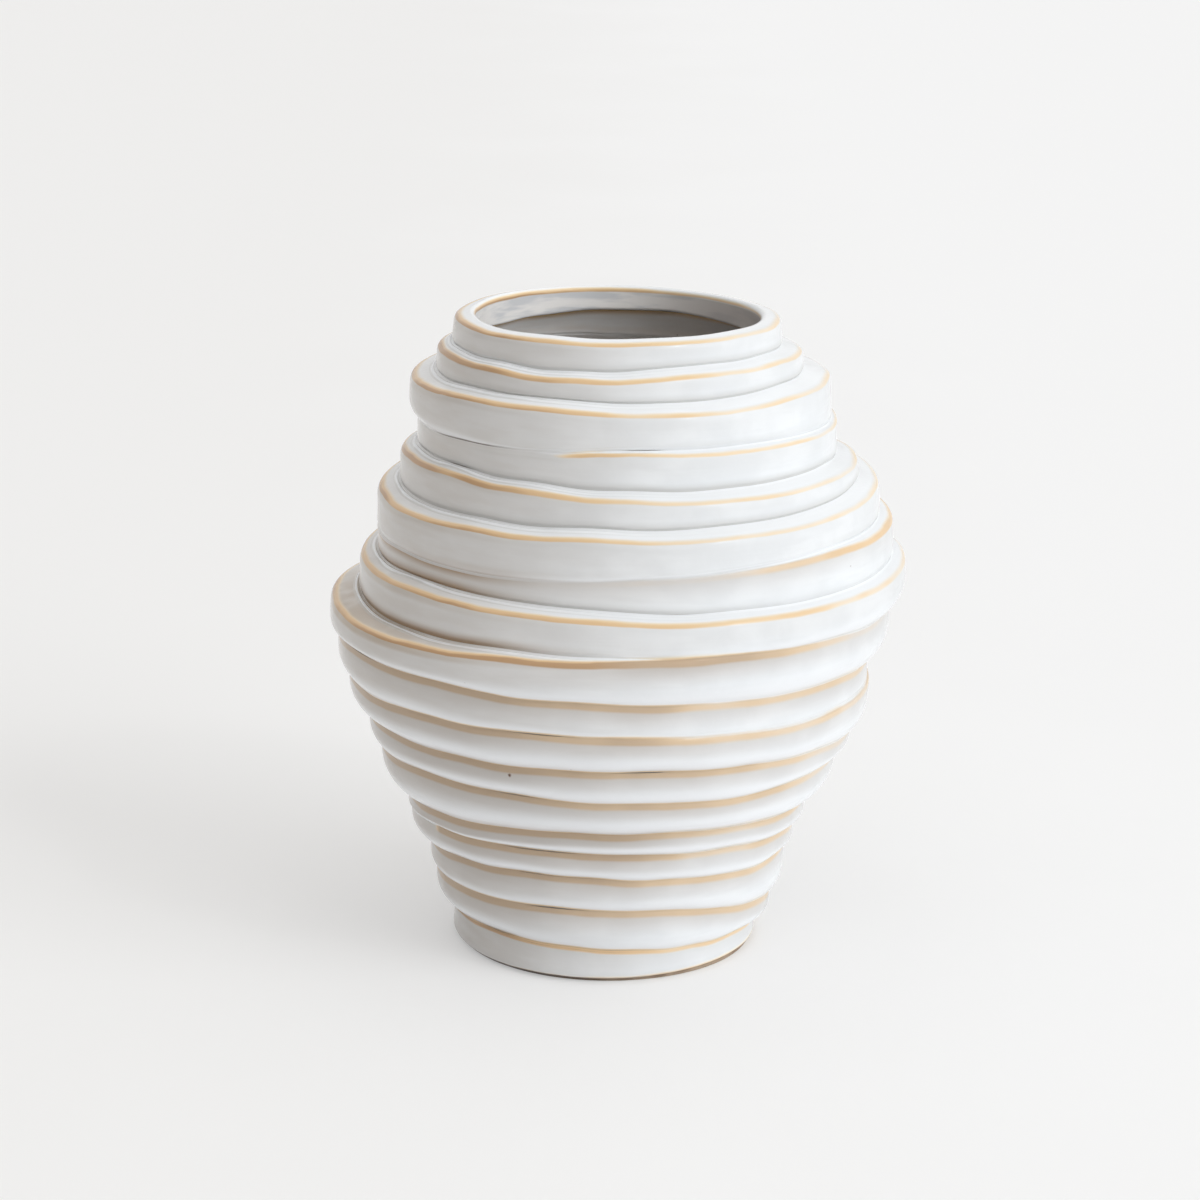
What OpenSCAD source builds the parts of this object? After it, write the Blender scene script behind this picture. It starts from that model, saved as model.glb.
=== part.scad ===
// Stacked-ring vase
// A hand-built stoneware vase: a dished base and seventeen clay rings, laid one on another,
// luted with slip, glazed white and fired. No ring is quite round or quite level, and each
// sits a little to one side of the ring below it. Each ring is one closed solid, and two
// neighbours meet face to face on a seat that follows the uneven joint between them.
// The vase stands on z = 0, its axis is Z, its front is -Y and its right side is +X.

/* [Body] */
// Height from the table to the rim
vase_h = 300; // [260:5:340]
// Outer radius of the base
foot_r = 72; // [64:1:80]
// Outer radius of the widest ring
belly_r = 130; // [118:1:142]
// Inner radius of the mouth
mouth_r = 65; // [56:1:72]
// How full the outline is between base, belly and rim, where 0 is straight
fullness = 0.25; // [0:0.05:0.6]

/* [Wall] */
// Thickness of the wall at the middle of a ring
wall = 10.5; // [8.5:0.5:13]
// Width of the seat on which two rings meet
seat_w = 7.5; // [6:0.5:9]
// Thickness of the floor inside the base
floor_t = 7; // [5:0.5:11]

/* [Ring edges] */
// Rounding of a top edge that stands well clear of the ring above
edge_round = 3.4; // [1.4:0.2:4.6]
// Fall of a ledge for each millimetre of its width
ledge_fall = 0.32; // [0.2:0.02:0.6]
// How far a ring is drawn in where it sits on a wider ring
tuck = 1.25; // [0.75:0.25:3]
// How far a ring's top edge stands out below a wider ring
lip = 0.8; // [0.6:0.1:2]

/* [Hand work] */
// Share of the hand-made unevenness, where 0 is true to the wheel
wander = 1; // [0:0.1:1.2]
// Height of the small waves along the joints and edges
wave = 0.8; // [0:0.1:1.4]

/* [Foot] */
// Height of the bare foot ring
foot_h = 2; // [1.5:0.25:4]
// Width of the foot ring's resting face
foot_w = 9; // [6:0.5:14]
// How far the foot ring is set in from the base's outer radius
foot_inset = 2.5; // [2.5:0.5:8]
// Bevel around the foot ring's lower edges
foot_bevel = 0.6; // [0.3:0.1:1]

/* [Hidden] */

GLAZE = [0.88, 0.87, 0.85];
CLAY = [0.74, 0.61, 0.46];

RINGS = 18;                     // rings in the stack, the base and the rim among them
WIDEST = 10;                    // the widest ring, counted up from the base
PITCH = vase_h / RINGS;         // height that each ring would have if all were alike
STEP = 10;                      // degrees between two sections of a ring
SECTIONS = 360 / STEP;

// How far each ring's outer edge strays from the true outline, base first, in millimetres
// outwards at the [front, right, back, left].
EDGE_WANDER = [
    [0, -1, 0, 1], [-1, -1.5, -1, 2], [-3, -2.5, -2, -3], [-5, -5, -5, -1.5],
    [-6, -6, -6, -7.5], [0, 1, 0, -1.5], [0, 1.5, 1, -1.5], [3, 3, 2, 2.5],
    [-1, -4, -1, 2.5], [0, 0, -1, 1], [2, 13, 3, -8], [-2, 13, 2, -11],
    [5, 13, 4, -5], [1, 10, 1, -8.5], [-1, 6, -2, -9], [4, 10, 7, 3],
    [1, 4, 1, -1.5], [0, 1.5, 0, -1.5]
];

// How far the joint on top of each ring strays from even spacing, base first, in millimetres
// upwards at the [front, right, back, left]. The rim has no joint on top of it.
JOINT_WANDER = [
    [0, -7, -3, -1], [4, -9, -2, 1], [4, -2, 1, 1], [2, -7, -2, -2],
    [-4, -8, -5, -9], [-1, -4, -2, -3], [-1, -9, -4, -5], [0, -3, 0, -1],
    [0, -9, -3, 1], [4, 2, 4, 5], [6, 7, 8, 8], [3, 11, 5, 0],
    [6, 11, 7, 6], [6, 3, 5, 6], [5, 4, 4, 1], [8, 9, 8, 8], [4, 4, 4, 3]
];

// Where a finger has closed a joint, as [ring below, direction, half width], the last two
// in degrees from +X.
CLOSED = [[15, 242, 24], [4, 190, 30], [9, 20, 22]];
CLOSED_SHARE = 0.65;            // how much of the groove the finger took away

WAVES = 3;                      // waves round a joint or an edge
SIDE_TURN = 47;                 // degrees that the edge's waves turn from ring to ring
JOINT_TURN = 140;               // degrees that the joint's waves turn from ring to ring
MERGE = 1;                      // softens the change from a tucked joint to a lipped one
BASE_TUCK = 1;                  // how far the base is drawn in above the foot ring
ROLL_SHARE = 0.9;               // most of a face's height that its rolled underside takes
ROLL_REACH = 5;                 // overhang at which the underside takes 63 % of that
ROLL_CURVE = 2.6;               // how full the underside is, where 1 is a straight slope
ROLL_AT = [0, 0.2, 0.5, 1];     // where its section has points, as shares of its height
MAX_ROUND_SHARE = 0.25;         // most of a ring's height that its edge rounding takes
MAX_FALL_SHARE = 0.3;           // most of a ring's height that its ledge falls
RIM_ROUND = 2.4;                // rounding of the rim's two edges
RIM_FALL = 1.2;                 // fall of the rim's top face towards the outside
FLOOR_FILLET = 5;               // width of the sloped corner between floor and wall
FOOT_SIDES = 60;                // straight sides that the foot ring's circles are drawn with
BEND_SHARE = 0.3;               // a rounding's middle point lies this share from its corner

// Smooth value at direction a of something given at the [front, right, back, left].
function compass(v, a) =
    (v[0] + v[1] + v[2] + v[3]) / 4
    + (v[1] - v[3]) / 2 * cos(a)
    + (v[2] - v[0]) / 2 * sin(a)
    + (v[1] + v[3] - v[0] - v[2]) / 4 * cos(2 * a);

// The smaller of two values, with a soft change from one to the other.
function soft_min(p, q) = (p + q - sqrt((p - q) * (p - q) + MERGE * MERGE)) / 2;

// The true outline: 0 to 1 from an end of the vase to its belly, and the radius there.
function way_to_belly(k) =
    k <= WIDEST ? (k - 1) / (WIDEST - 1) : (RINGS - k) / (RINGS - WIDEST);
function end_r(k) = k <= WIDEST ? foot_r : mouth_r + wall;
function true_r(k) =
    let (t = way_to_belly(k))
    end_r(k) + (belly_r - end_r(k)) * ((1 - fullness) * t + fullness * sin(90 * t));

// Outer radius of ring k in direction a.
function edge_r(k, a) =
    true_r(k) + wander * compass(EDGE_WANDER[k - 1], a)
    + wave * sin(WAVES * a + SIDE_TURN * k);

// Height of the joint on top of ring k, where k = 0 is the foot ring.
function joint_z(k, a) =
    k == 0 ? foot_h
    : k == RINGS ? vase_h
    : k * PITCH + wander * compass(JOINT_WANDER[k - 1], a)
        + wave * sin(WAVES * a + JOINT_TURN * k);

// Share of the groove that is left at the joint on ring k, from a finger's mark to 1.
function turn_between(a, b) = abs((a - b + 540) % 360 - 180);
function press(k, a) =
    max([0, for (c = CLOSED) if (c[0] == k) max(0, cos(90 * min(1, turn_between(a, c[1]) / c[2])))]);
function open_share(k, a) = 1 - CLOSED_SHARE * press(k, a);

// Outer radius of the seat on top of ring k: inside the narrower ring's edge.
function joint_r(k, a) =
    k == 0 ? edge_r(1, a) - BASE_TUCK
    : let (w = open_share(k, a))
        soft_min(edge_r(k, a) - lip * w, edge_r(k + 1, a) - tuck * w);

// Section of ring k in direction a, as [radius, height] points in three runs: the face
// from the seat below up to the edge, the ledge up to the seat above, and the inner side.
function ledge_w(k, a) = edge_r(k, a) - joint_r(k, a);
function ring_h(k, a) = joint_z(k, a) - joint_z(k - 1, a);
function round_r(k, a) =
    let (w = ledge_w(k, a))
    min(edge_round * w / (w + edge_round), MAX_ROUND_SHARE * ring_h(k, a));
function fall_h(k, a) =
    min(ledge_fall * (ledge_w(k, a) - round_r(k, a)), MAX_FALL_SHARE * ring_h(k, a));

function face_points(k, a, top_z) =
    let (
        z = joint_z(k - 1, a),
        r = edge_r(k, a),
        overhang = r - joint_r(k - 1, a),
        roll_h = (top_z - z) * ROLL_SHARE * (1 - exp(-overhang / ROLL_REACH))
    )
    [for (s = ROLL_AT) [r - overhang * pow(1 - s, ROLL_CURVE), z + roll_h * s]];

// A rounded corner that turns inwards at the top, or at its mirror image for side = -1.
function corner_points(r, z, rounding, side) = [
    [r, z - rounding],
    [r - side * BEND_SHARE * rounding, z - BEND_SHARE * rounding],
    [r - side * rounding, z]
];

function outer_points(k, a) =
    let (edge_z = joint_z(k, a) - fall_h(k, a), rounding = round_r(k, a))
    concat(
        face_points(k, a, edge_z - rounding),
        corner_points(edge_r(k, a), edge_z, rounding, 1),
        [[joint_r(k, a), joint_z(k, a)]]
    );

function lower_seat(k, a) = [[joint_r(k - 1, a) - seat_w, joint_z(k - 1, a)]];
function upper_seat(k, a) = [[joint_r(k, a) - seat_w, joint_z(k, a)]];
function inner_middle(k, a) =
    [[edge_r(k, a) - wall, (joint_z(k - 1, a) + joint_z(k, a)) / 2]];

function ring_section(k, a) =
    concat(lower_seat(k, a), outer_points(k, a), upper_seat(k, a), inner_middle(k, a));

function rim_section(a) =
    let (outer_z = vase_h - RIM_FALL, inner_r = edge_r(RINGS, a) - wall)
    concat(
        lower_seat(RINGS, a),
        face_points(RINGS, a, outer_z - RIM_ROUND),
        corner_points(edge_r(RINGS, a), outer_z, RIM_ROUND, 1),
        [for (i = [2 : -1 : 0]) corner_points(inner_r, vase_h, RIM_ROUND, -1)[i]]
    );

function base_section(a) =
    let (floor_z = foot_h + floor_t, corner_r = joint_r(1, a) - seat_w)
    concat(
        outer_points(1, a),
        upper_seat(1, a),
        [[corner_r - FLOOR_FILLET, floor_z]]
    );

// Solid lofted through the sections, one for each direction. A closed section makes a
// ring; an open one makes a dish, with a flat face at each end. The strip between the
// first two points is split along its other diagonal, as the seat below it is, so that
// the two seats meet triangle on triangle.
module loft(sections, closed) {
    n = len(sections[0]);
    points = [
        for (i = [0 : SECTIONS - 1]) for (p = sections[i])
            [p[0] * cos(i * STEP), p[0] * sin(i * STEP), p[1]]
    ];
    strips = [
        for (i = [0 : SECTIONS - 1]) for (j = [0 : closed ? n - 1 : n - 2])
            let (
                i2 = (i + 1) % SECTIONS, j2 = (j + 1) % n,
                a = i * n + j, b = i * n + j2, c = i2 * n + j2, d = i2 * n + j
            )
            each (closed && j == 0 ? [[a, b, d], [b, c, d]] : [[a, b, c], [a, c, d]])
    ];
    ends = closed ? [] : [
        [for (i = [0 : SECTIONS - 1]) i * n],
        [for (i = [SECTIONS - 1 : -1 : 0]) i * n + n - 1]
    ];
    polyhedron(points, concat(strips, ends), convexity = 4);
}

module clay_ring(k) {
    color(GLAZE) loft([for (i = [0 : SECTIONS - 1]) ring_section(k, i * STEP)], true);
}

module foot_ring() {
    outer = foot_r - foot_inset;
    inner = outer - foot_w;
    color(CLAY) rotate_extrude($fn = FOOT_SIDES) polygon([
        [inner + foot_bevel, 0], [outer - foot_bevel, 0], [outer, foot_bevel],
        [outer, foot_h], [inner, foot_h], [inner, foot_bevel]
    ]);
}

module base() {
    color(GLAZE) loft([for (i = [0 : SECTIONS - 1]) base_section(i * STEP)], false);
}

module ring_02() { clay_ring(2); }
module ring_03() { clay_ring(3); }
module ring_04() { clay_ring(4); }
module ring_05() { clay_ring(5); }
module ring_06() { clay_ring(6); }
module ring_07() { clay_ring(7); }
module ring_08() { clay_ring(8); }
module ring_09() { clay_ring(9); }
module ring_10() { clay_ring(10); }
module ring_11() { clay_ring(11); }
module ring_12() { clay_ring(12); }
module ring_13() { clay_ring(13); }
module ring_14() { clay_ring(14); }
module ring_15() { clay_ring(15); }
module ring_16() { clay_ring(16); }
module ring_17() { clay_ring(17); }

module rim() {
    color(GLAZE) loft([for (i = [0 : SECTIONS - 1]) rim_section(i * STEP)], true);
}

foot_ring();
base();
ring_02();
ring_03();
ring_04();
ring_05();
ring_06();
ring_07();
ring_08();
ring_09();
ring_10();
ring_11();
ring_12();
ring_13();
ring_14();
ring_15();
ring_16();
ring_17();
rim();
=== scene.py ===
# %% [markdown]
# # A stacked-ring vase, dressed for the studio
#
# The vase is hand-built stoneware: a dished base and seventeen clay rings, stacked, luted
# with slip, glazed white and fired. The glaze is thick and pale where it lies flat, and thin
# and honey-coloured where it breaks over an edge.
#
# The measured model comes from the CAD part, which is loaded here as a fixed frame. Its
# rings are faceted, so each one is made again below as a fine, smooth mesh that follows the
# same sections, and that piece stands for the CAD ring. Nothing is moved or resized.

# %% Load the measured frame
import math

import bpy
import numpy as np
from mathutils import Euler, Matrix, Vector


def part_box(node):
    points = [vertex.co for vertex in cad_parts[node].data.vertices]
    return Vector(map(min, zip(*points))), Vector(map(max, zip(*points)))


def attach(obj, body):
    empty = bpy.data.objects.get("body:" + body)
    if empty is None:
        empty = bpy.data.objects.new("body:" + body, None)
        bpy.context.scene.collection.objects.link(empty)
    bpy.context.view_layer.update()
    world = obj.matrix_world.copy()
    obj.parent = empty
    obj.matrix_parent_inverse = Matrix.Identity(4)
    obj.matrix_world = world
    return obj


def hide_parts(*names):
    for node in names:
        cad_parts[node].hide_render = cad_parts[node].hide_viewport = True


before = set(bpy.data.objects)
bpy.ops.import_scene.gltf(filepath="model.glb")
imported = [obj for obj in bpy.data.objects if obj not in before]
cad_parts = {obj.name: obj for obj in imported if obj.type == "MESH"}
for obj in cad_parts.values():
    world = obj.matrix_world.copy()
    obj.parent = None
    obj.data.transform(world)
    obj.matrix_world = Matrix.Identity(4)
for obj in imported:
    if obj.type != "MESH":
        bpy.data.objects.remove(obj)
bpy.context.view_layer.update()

print("nodes in the frame:", len(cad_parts))

# %% [markdown]
# ## The camera
#
# The vase is seen from the front and a little above, with a long lens, so its ellipses stay
# calm. The camera goes in first because every later choice is judged through it. A small
# roll tips the table, as in a shot taken by hand.

# %% Set the camera
MM = 0.001
LENS = 100
CAMERA_PLACE = (-0.0042, -1.503, 0.576)
CAMERA_PITCH = 90 - 15.37
CAMERA_ROLL = 0.78

scene = bpy.context.scene
camera = bpy.data.objects.new("camera", bpy.data.cameras.new("camera"))
scene.collection.objects.link(camera)
camera.data.lens = LENS
camera.location = CAMERA_PLACE
look = Euler((math.radians(CAMERA_PITCH), 0, 0)).to_matrix()
roll = Euler((0, 0, math.radians(CAMERA_ROLL))).to_matrix()
camera.rotation_euler = (look @ roll).to_euler()
scene.camera = camera
print("camera at", CAMERA_PLACE, "with a", LENS, "mm lens")

# %% [markdown]
# ## Reading the sections of a ring
#
# Every CAD ring was lofted through 36 sections, one each ten degrees, so all that is known
# about its shape is in those sections. The mesh holds them still: an edge whose two ends
# lie in the same direction from the axis is part of a section. Walking along such edges
# gives the section's points in order, which is safer than guessing them from their heights.

# %% Read the sections
SECTIONS = 36


def sections_of(node):
    """The sections of a CAD ring, as an array of direction x point x (radius, height) in mm."""
    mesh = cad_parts[node].data
    corners = np.array([vertex.co for vertex in mesh.vertices]) / MM
    places, place_of = np.unique(corners.round(3), axis=0, return_inverse=True)
    place_of = place_of.ravel()
    radius = np.hypot(places[:, 0], places[:, 1])
    angle = np.degrees(np.arctan2(places[:, 1], places[:, 0]))
    direction = np.round(angle * SECTIONS / 360).astype(int) % SECTIONS
    beside = [set() for _ in places]
    for edge in mesh.edges:
        a, b = (int(place_of[v]) for v in edge.vertices)
        if a != b and direction[a] == direction[b]:
            beside[a].add(b)
            beside[b].add(a)
    rows = []
    for i in range(SECTIONS):
        own = [p for p in range(len(places)) if direction[p] == i]
        path = [min(own, key=lambda p: (len(beside[p]), places[p][2], radius[p]))]
        while len(path) < len(own):
            onward = [p for p in beside[path[-1]] if p not in path]
            path.append(min(onward, key=lambda p: places[p][2]) if len(path) == 1 else onward[0])
        rows.append([(radius[p], places[p][2]) for p in path])
    return np.array(rows)


RING_NAMES = sorted(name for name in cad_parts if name.startswith("ring_"))
STACK = ["base"] + RING_NAMES + ["rim"]
sections = {name: sections_of(name) for name in STACK}
print({name: rows.shape[1] for name, rows in sections.items()})

# %% [markdown]
# ## From 36 directions to many
#
# A smooth curve is drawn round the vase through each section point. A Catmull-Rom curve
# passes through every known value and closes on itself, so the fine ring touches the CAD
# ring in all 36 directions, and two neighbours that share a joint still share it afterwards.

# %% Carry the sections round
TURNS = 288
TURN = np.arange(TURNS) * 360 / TURNS
SIDEWAYS = np.cos(np.radians(TURN))
LENGTHWAYS = np.sin(np.radians(TURN))


def carried_round(rows):
    """Section points in TURNS directions, on smooth closed curves through the known ones."""
    place = TURN * SECTIONS / 360
    index = place.astype(int)
    t = (place - index)[:, None, None]
    before, here, after, beyond = (rows[(index + step) % SECTIONS] for step in (-1, 0, 1, 2))
    linear = (after - before) * t
    square = (2 * before - 5 * here + 4 * after - beyond) * t**2
    cube = (3 * here - before - 3 * after + beyond) * t**3
    return (2 * here + linear + square + cube) / 2


# A ring's section starts at its lower seat and goes on with the face. The base has no lower
# seat, so its first point is doubled, and all sections can be read by the same numbers.
sections["base"] = np.concatenate([sections["base"][:, :1], sections["base"]], axis=1)
SEAT = 0                # inner end of the lower seat
FOOT = 1                # joint with the ring below, on the outside
BELLY = 4               # top of the rolled underside
SHOULDER = 5            # top of the face, where the edge begins
CORNER = 7              # end of the edge, where the ledge begins
LEDGE_END = 8           # joint with the ring above, or the inner end of the rim's flat top
UPPER_SEAT = 9          # inner end of the upper seat
INSIDE = 10             # middle of the inner side, the rim's wall, or the edge of the floor
rounded = {name: carried_round(rows) for name, rows in sections.items()}
print("directions round the vase:", TURNS)

# %% [markdown]
# ## Marks of the hand
#
# A joint laid by hand never runs true, so each one sways up and down by half a millimetre,
# and both rings at the joint follow it. Such a mark is a wavy line round the vase: some
# waves of random height and place, added up, so that it closes on itself. Other marks lie
# on one side only, and a second helper says how near a direction is to that side.

# %% Sway the joints
JOINT_SWAY = 0.5        # how far a hand-laid joint sways up and down between sections, in mm
JOINT_WAVES = (5, 16)   # how many waves there are round the vase, from the slowest to the fastest
RIM_WAVES = (4, 12)     # and on top of the rim
# Each kind of hand mark is drawn from seeds of its own, so the vase is the same every time.
SEEDS = {"side": 0, "rim": 180, "filling": 300, "foot": 400, "joint": 500}


def hand_wave(seed, slowest, fastest, size):
    """A closed wavy line round the vase that stays within plus and minus its size, in mm."""
    draw = np.random.default_rng(seed)
    line = np.zeros(TURNS)
    for waves in range(slowest, fastest + 1):
        line += draw.normal() / math.sqrt(waves) * np.cos(
            np.radians(waves * TURN) + draw.uniform(0, 2 * math.pi))
    return size * line / abs(line).max()


def facing(direction, half_width):
    """1 in a direction (degrees from the right-hand side), falling to 0 at half_width."""
    away = np.abs((TURN - direction + 540) % 360 - 180)
    return np.cos(np.radians(90 * np.minimum(1, away / half_width))) ** 2


sway = [np.zeros(TURNS)]
sway += [hand_wave(SEEDS["joint"] + k, *JOINT_WAVES, JOINT_SWAY) for k in range(1, len(STACK))]
sway += [hand_wave(SEEDS["joint"], *RIM_WAVES, JOINT_SWAY / 2) - JOINT_SWAY / 2]
for place, name in enumerate(STACK):
    rows = rounded[name]
    low, high = rows[:, [SEAT], 1], rows[:, [CORNER], 1]
    share = (rows[:, :, 1] - low) / (high - low)
    rows[:, :, 1] += sway[place][:, None] * (1 - share) + sway[place + 1][:, None] * share
print("a joint's sway in mm:", sway[1].min().round(2), "to", sway[1].max().round(2))

# %% [markdown]
# ## Profiles and curves
#
# A ring's surface is its profile, swept round the axis. A profile is kept as the sections
# are, as an array of direction x point x (radius, height) in mm, so NumPy works on all
# directions at once. Nearly all of it is made of straight runs, and of curves that leave
# one point and arrive at another while a corner pulls them.

# %% Helpers for profiles
def profile(radius, height):
    """A profile from radii and heights, either of which may be alike in all directions."""
    return np.stack(np.broadcast_arrays(radius, height, np.zeros((TURNS, 1)))[:2], axis=2)


def joined(*runs):
    """Runs of points, or of numbers that belong to them, one after another."""
    return np.concatenate(runs, axis=1)


def along(points):
    """Distance walked along a profile from its first point, in mm."""
    steps = np.hypot(*np.diff(points, axis=1).T).T
    return joined(np.zeros((TURNS, 1)), np.cumsum(steps, axis=1))


def straight(start, end, t):
    """Points on a straight line, at these shares of the way from start to end."""
    return start + (end - start) * t[:, None]


def bend(start, corner, end, t):
    """Points on a curve from start to end that is pulled towards the corner."""
    t = t[:, None]
    return start * (1 - t) ** 2 + 2 * corner * t * (1 - t) + end * t**2


print("length of one section of the rim, in mm:", round(along(rounded["rim"])[0, -1], 1))

# %% [markdown]
# ## The face of a ring
#
# Seen in section, a clay ring has a face that rolls under where it sits on the ring below,
# a soft upper edge, a sloping ledge, and a bulging inner side. Each is a short run of
# points worked out by a formula. The roll is a power curve, the same one that the CAD part
# uses. Fingers leave shallow dents in the face, so it waves a little, but always inwards,
# and the fine ring stays inside the measured one.

# %% Draw the face
ROLL_STEPS = 10
FACE_STEPS = 6
FACE = ROLL_STEPS + FACE_STEPS
ROLL_CURVE = 2.6        # how full the rolled underside is, where 1 is a straight slope
ROLL_CROWD = 1.5        # how much closer the roll's points lie near the joint
SOFTER = 1.8            # how much further than the CAD edge a fine edge is rounded, in mm
SOFTER_FROM = 1         # on a ledge of this width, in mm, the edge begins to be softer
SOFTER_OVER = 5         # and it is fully so when the ledge is wider by this
BARREL = 0.35           # how far the top of a face is drawn in by its bulge, in mm
DENT = 0.4              # deepest dent on a face, in mm
DENT_FROM = 0.25        # share of the face's height over which the dents come in
BROAD_WAVES = (3, 11)
FINE_WAVES = (9, 26)


def softer(points):
    """How much further each direction's edge is rounded: nothing on a narrow ledge."""
    width = points[:, CORNER, :1] - points[:, LEDGE_END, :1]
    return SOFTER * np.clip((width - SOFTER_FROM) / SOFTER_OVER, 0, 1)


def face_run(points, seed):
    """The face from the joint below up to the start of the rounded edge."""
    joint_r, joint_z = points[:, FOOT].T[..., None]
    edge_r, edge_z = points[:, BELLY].T[..., None]
    top_z = points[:, SHOULDER, 1:] - softer(points)
    s = np.linspace(0, 1, ROLL_STEPS) ** ROLL_CROWD
    roll = profile(edge_r - (edge_r - joint_r) * (1 - s) ** ROLL_CURVE,
                   joint_z + (edge_z - joint_z) * s)
    t = np.linspace(0, 1, FACE_STEPS + 1)[1:]
    barrel = BARREL * softer(points) / SOFTER * t**2
    face = joined(roll, profile(edge_r - barrel, edge_z + (top_z - edge_z) * t))
    share = (face[..., 1] - joint_z) / (top_z - joint_z)
    broad, fine = (hand_wave(seed + k, *waves, 0.5)[:, None] + 0.5
                   for k, waves in enumerate((BROAD_WAVES, FINE_WAVES)))
    dent = broad * np.sin(math.pi * share) + fine * share**2
    face[..., 0] -= DENT * dent * np.minimum(1, share / DENT_FROM)
    return face


print("points in a face:", FACE)

# %% [markdown]
# ## The edge and the ledge
#
# A fired edge is softer than a facet can show, so it is rounded further than the measured
# one, by a curve that the corner between face and ledge pulls outwards. The ledge is a line
# from there to the joint. It sags a little, unevenly, where a thumb has run along it.

# %% Draw the edge and the ledge
EDGE_STEPS = 7
LEDGE_STEPS = 9
LEDGE_SAG = 0.35        # how far a ledge sags between its edge and the joint, in mm
SAG_LEAN = 1.4          # above 1, the sag is deepest nearer the joint
LEDGE_WAVES = (4, 15)
WIDE_LEDGE = 8          # a ledge of this width, in mm, sags in full


def edge_run(points, start):
    """The rounded edge, a curve pulled towards the corner between face and ledge."""
    corner, joint = points[:, [CORNER]], points[:, [LEDGE_END]]
    away = softer(points)
    slope = (joint - corner)[..., 1] / (corner - joint)[..., 0]
    end = corner + profile(-away, slope * away)
    pull = profile(start[..., 0], corner[..., 1])
    return bend(start, pull, end, np.linspace(0, 1, EDGE_STEPS)[1:])


def ledge_run(start, joint, seed):
    """The ledge from the edge in to the joint with the ring above."""
    t = np.linspace(0, 1, LEDGE_STEPS + 1)[1:]
    width = (start - joint)[..., 0]
    uneven = 1 + hand_wave(seed, *LEDGE_WAVES, 0.5)[:, None]
    sag = LEDGE_SAG * np.minimum(1, width / WIDE_LEDGE) * uneven
    return straight(start, joint, t) - profile(0, sag * np.sin(math.pi * t**SAG_LEAN))


def face_and_edge(points, seed):
    """Face and rounded upper edge, which all rings have, the rim among them."""
    face = face_run(points, seed)
    return joined(face, edge_run(points, face[:, -1:]))


def outer_side(points, seed):
    """Face, edge and ledge of one ring."""
    side = face_and_edge(points, seed)
    return joined(side, ledge_run(side[:, -1:], points[:, [LEDGE_END]], seed + 2))


print("points in a ring's outer side:", FACE + EDGE_STEPS - 1 + LEDGE_STEPS)

# %% [markdown]
# ## Where the glaze breaks and where it pools
#
# Glaze is a liquid in the kiln. It draws back from an upper edge, where it goes thin and
# honey-brown, and runs down into a joint, where it gathers. How far that goes changes round
# the vase, because the glaze was poured by hand, and the honey is painted bolder on the
# shaded left and fainter on the lit right, in part as painted shade and light. So each ring
# gets four strengths for its honey edge, at the front, right, back and left, where more than
# 1 keeps it at its boldest for longer. A few joints get, in one direction, a brown pool,
# which is pooled glaze and painted shade under the ring above, and at the foot of two pieces
# there is a dark line of painted shadow. Joints that a finger has smeared shut lose their
# edge.

# %% Set the strengths of edges and pools
# bolder on the shaded left and fainter on the lit right, partly as painted shade and light
USUAL_EDGE = (0.64, 0.46, 0.80, 1.20)
EDGE_STRENGTH = {
    "ring_10": (0.85, 0.20, 0.60, 1.00),
    "ring_12": (0.22, 0.75, 0.50, 0.30),
}
# A mark is given by its direction and half width, in degrees, and its strength there.
SMEARED = {"ring_15": (251, 15, 1), "ring_04": (190, 30, 1), "ring_09": (20, 22, 1)}
BARE_EDGE = {"ring_15": (212, 55, 1), "ring_04": (188, 30, 1), "ring_09": (20, 22, 1)}
SMEAR_ENDS = 1.6        # how suddenly a smear ends, where 1 is as gentle as can be
BARE_ENDS = 6           # and a bare edge
FOOT_ENDS = 1.5         # and a pool or a line at the foot of a ring
# a dark line of painted shadow at the foot of these pieces
SHADOW_LINE_AT_FOOT_OF = {"ring_16": (224, 24, 0.8), "base": (225, 85, 1.0)}
# brown of pooled glaze with painted shade under the ring above, at the foot of these rings
POOL_AND_SHADE_AT_FOOT_OF = {
    "ring_12": (214, 48, 1.0),
    "ring_11": (220, 52, 1.0),
    "ring_10": (196, 22, 0.7),
    "ring_13": (232, 34, 0.35),
}
THIN_LEDGE = {"ring_10": 1.0, "ring_11": 0.5, "ring_13": 0.3, "ring_14": 0.3, "ring_16": 0.2}
THIN_FACING = (196, 80)


def strength_round(front, right, back, left):
    """A smooth strength round the vase from its values in four directions."""
    middle = (front + right + back + left) / 4
    across = (right - left) / 2 * SIDEWAYS + (back - front) / 2 * LENGTHWAYS
    between = (right + left - front - back) / 4 * np.cos(np.radians(2 * TURN))
    return np.clip(middle + across + between, 0, 1)


def marked(table, name, ends):
    """Strength of a mark round this ring, which is 0 unless the table names the ring."""
    if name not in table:
        return np.zeros(TURNS)
    direction, half_width, most = table[name]
    return most * np.minimum(1, ends * facing(direction, half_width))


def edge_strength(name):
    """How bold the honey edge of this ring is round the vase."""
    strength = strength_round(*EDGE_STRENGTH.get(name, USUAL_EDGE))
    return strength * (1 - marked(BARE_EDGE, name, BARE_ENDS))


print("joints with a brown pool:", len(POOL_AND_SHADE_AT_FOOT_OF), " smeared joints:", len(SMEARED))

# %% [markdown]
# ## Making room in the joints
#
# Two bare coils would meet in a sharp, deep groove. Here the slip that lutes them and the
# glaze over it have filled the corner to a soft hollow. So both rings are first cut back a
# little from the joint: their points are spread again along the profile, and stop short.
#
# Where the ledge is wide, a thin bead of slip was squeezed out and stands along the joint.
# It is part of the lower ring's profile, a low hump just outside the filling.

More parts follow.
